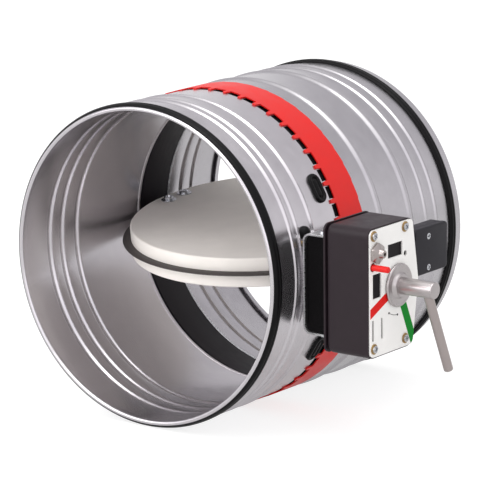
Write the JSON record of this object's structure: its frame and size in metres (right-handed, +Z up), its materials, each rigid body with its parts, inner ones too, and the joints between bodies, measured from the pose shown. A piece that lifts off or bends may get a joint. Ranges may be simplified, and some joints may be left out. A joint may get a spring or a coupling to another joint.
{
  "type": "fire damper",
  "caption": "Round fire damper: beaded galvanised duct sleeve with a tilting board blade, red sealing band and a spring-return actuator box with a crank lever.",
  "frame": {"origin": "where the blade's pivot axis crosses the duct axis", "axes": "+X from the duct to the actuator, along the pivot axis; +Y along the duct to its rear end; +Z up"},
  "size_m": [0.4454, 0.3639, 0.32],
  "materials": {
    "galvanised": "bright rolled galvanised sheet",
    "liner_steel": "smooth galvanised sheet",
    "red_film": "smooth red band",
    "black_strip": "dull black fire strip",
    "seal_rubber": "matt black rubber",
    "brass_bush": "turned bronze",
    "bracket_steel": "folded zinc-plated sheet",
    "pad_black": "matt black sheet",
    "fastener_zinc": "bright zinc plating",
    "washer_yellow": "yellow zinc plating",
    "housing_black": "fine-textured black moulding",
    "face_white": "satin white plate",
    "spring_steel": "blued spring steel",
    "cap_metal": "turned metal",
    "switch_black": "black moulding",
    "terminal_black": "black moulding",
    "terminal_light": "pale moulding",
    "blade_board": "pressed mineral board, off-white",
    "blade_rubber": "dark rubber lip",
    "shaft_steel": "turned steel",
    "lever_steel": "bright drawn steel",
    "rod_red": "red moulding"
  },
  "bodies": {
    "root": {"front_casing": "galvanised", "rear_casing": "galvanised", "inner_liner": "liner_steel", "sealing_band": "red_film", "intumescent_strip": "black_strip", "strip_retainer": "liner_steel", "front_seal": "seal_rubber", "rear_seal": "seal_rubber", "blade_bush_left": "brass_bush", "blade_bush_right": "brass_bush", "spindle_bush_inner": "brass_bush", "spindle_bush_middle": "brass_bush", "spindle_bush_outer": "brass_bush", "mounting_channel": "bracket_steel", "channel_pad": "pad_black", "channel_rivets": "fastener_zinc", "flange_screws": "fastener_zinc", "back_plate": "housing_black", "actuator_housing": "housing_black", "face_plate": "face_white", "face_screws": "fastener_zinc", "face_washers": "washer_yellow", "return_spring": "spring_steel", "stop_pins": "fastener_zinc", "latch_pin": "fastener_zinc", "fuse_cap": "cap_metal", "fuse_holder": "switch_black", "fuse_probe": "cap_metal", "limit_switch_open": "switch_black", "limit_switch_closed": "switch_black", "terminal_bracket": "bracket_steel", "terminal_base": "terminal_black", "terminal_cover": "terminal_black", "terminal_screws": "fastener_zinc", "terminal_strip": "terminal_light", "cable_grommet": "seal_rubber", "slot_plug_upper": "seal_rubber", "slot_plug_lower": "seal_rubber", "round_plug": "seal_rubber"},
    "blade": {"upper_board": "blade_board", "lower_board": "blade_board", "blade_seal": "blade_rubber", "left_pivot": "shaft_steel", "right_shaft": "shaft_steel", "blade_bolts": "fastener_zinc", "blade_washers": "fastener_zinc", "blade_crank": "bracket_steel", "blade_crank_pin": "shaft_steel"},
    "spindle": {"spindle": "shaft_steel", "hub_disc": "lever_steel", "crank_stub": "lever_steel", "crank_lever": "lever_steel", "drive_arm": "bracket_steel", "drive_arm_pin": "shaft_steel", "cam_disc": "bracket_steel", "spring_drum": "bracket_steel"},
    "link": {"link_rod": "bracket_steel"},
    "release": {"release_rod": "rod_red"},
    "latch": {"latch_pawl": "bracket_steel"},
    "fuse": {"fuse_plunger": "cap_metal"}
  },
  "joints": [
    {"name": "blade_swing", "type": "hinge", "parent": "root", "child": "blade", "pos_m": [0, 0, 0], "axis": [-1, 0, 0], "range_deg": [0, 96]},
    {"name": "spindle_turn", "type": "hinge", "parent": "root", "child": "spindle", "pos_m": [0.2, -0.1326, 0], "axis": [-1, 0, 0], "range_deg": [0, 84]},
    {"name": "link_turn", "type": "hinge", "parent": "spindle", "child": "link", "pos_m": [0.1723, -0.15341, 0.02311], "axis": [1, 0, 0], "range_deg": [0, 84]},
    {"name": "release_push", "type": "slide", "parent": "root", "child": "release", "axis": [-1, 0, 0], "range_m": [0, 0.006], "stiffness_N_per_m": 400, "springref_m": -0.003},
    {"name": "latch_turn", "type": "hinge", "parent": "root", "child": "latch", "pos_m": [0.2165, -0.1666, 0.012], "axis": [1, 0, 0], "range_deg": [-10, 0]},
    {"name": "fuse_trip", "type": "slide", "parent": "root", "child": "fuse", "axis": [-1, 0, 0], "range_m": [0, 0.004]}
  ],
  "couplings": [
    {"joint": "spindle_turn", "follows": "blade_swing", "ratio": 0.875},
    {"joint": "link_turn", "follows": "blade_swing", "ratio": 0.875},
    {"joint": "latch_turn", "follows": "release_push", "rad_per_m": -28.507}
  ]
}
